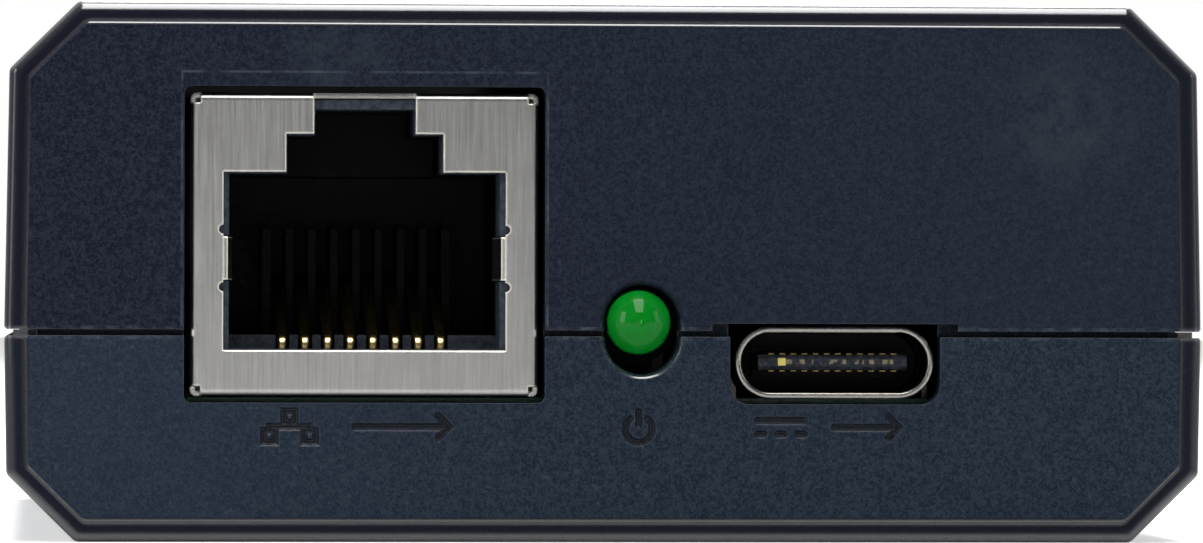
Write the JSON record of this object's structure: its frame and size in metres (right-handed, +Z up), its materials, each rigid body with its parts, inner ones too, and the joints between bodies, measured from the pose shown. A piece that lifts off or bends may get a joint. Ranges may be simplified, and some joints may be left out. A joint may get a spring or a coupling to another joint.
{
  "type": "poe splitter",
  "caption": "Black moulded network power splitter with a shielded network socket, a green status lamp and a small oval power outlet on one end.",
  "frame": {"origin": "middle of the underside of the case, on the surface it stands on", "axes": "+Z up from the underside; -Y out of the end with the lamp and the power outlet; +X to the right seen from that end"},
  "size_m": [0.0534, 0.0849, 0.024],
  "materials": {
    "case_black": "fine moulded grain",
    "board_green": "solder mask over glass laminate",
    "shield_nickel": "satin plated sheet",
    "insert_black": "moulded",
    "contact_gold": "gold flash",
    "outlet_steel": "satin",
    "lens_green": "tinted diffuse",
    "lead_tin": "tinned",
    "screw_steel": "black zinc",
    "chip_black": "moulded",
    "ferrite_grey": "pressed",
    "tape_yellow": "polyester tape",
    "can_sleeve": "shrink sleeve",
    "disc_blue": "dipped",
    "chip_ceramic": "fired"
  },
  "bodies": {
    "root": {"top_cover": "case_black", "bottom_case": "case_black", "main_board": "board_green", "data_jack_shield": "shield_nickel", "data_jack_insert": "insert_black", "data_jack_contact_1": "contact_gold", "data_jack_contact_2": "contact_gold", "data_jack_contact_3": "contact_gold", "data_jack_contact_4": "contact_gold", "data_jack_contact_5": "contact_gold", "data_jack_contact_6": "contact_gold", "data_jack_contact_7": "contact_gold", "data_jack_contact_8": "contact_gold", "poe_jack_shield": "shield_nickel", "poe_jack_insert": "insert_black", "poe_jack_contact_1": "contact_gold", "poe_jack_contact_2": "contact_gold", "poe_jack_contact_3": "contact_gold", "poe_jack_contact_4": "contact_gold", "poe_jack_contact_5": "contact_gold", "poe_jack_contact_6": "contact_gold", "poe_jack_contact_7": "contact_gold", "poe_jack_contact_8": "contact_gold", "outlet_shell": "outlet_steel", "outlet_tongue": "insert_black", "outlet_contacts": "contact_gold", "lamp_lens": "lens_green", "lamp_anode_lead": "lead_tin", "lamp_cathode_lead": "lead_tin", "case_screws": "screw_steel", "lan_transformer": "chip_black", "lan_transformer_leads": "lead_tin", "flyback_core": "ferrite_grey", "flyback_bobbin": "insert_black", "flyback_winding": "tape_yellow", "flyback_pins": "lead_tin", "input_capacitor": "can_sleeve", "output_capacitor_1": "can_sleeve", "output_capacitor_2": "can_sleeve", "isolation_capacitor": "disc_blue", "capacitor_leads": "lead_tin", "bridge_rectifier_a": "chip_black", "bridge_rectifier_b": "chip_black", "pd_controller": "chip_black", "switching_mosfet": "chip_black", "output_rectifier": "chip_black", "optocoupler": "chip_black", "outlet_controller": "chip_black", "chip_leads": "lead_tin", "output_choke": "ferrite_grey", "chip_capacitors": "chip_ceramic", "chip_resistors": "chip_black"}
  },
  "joints": []
}
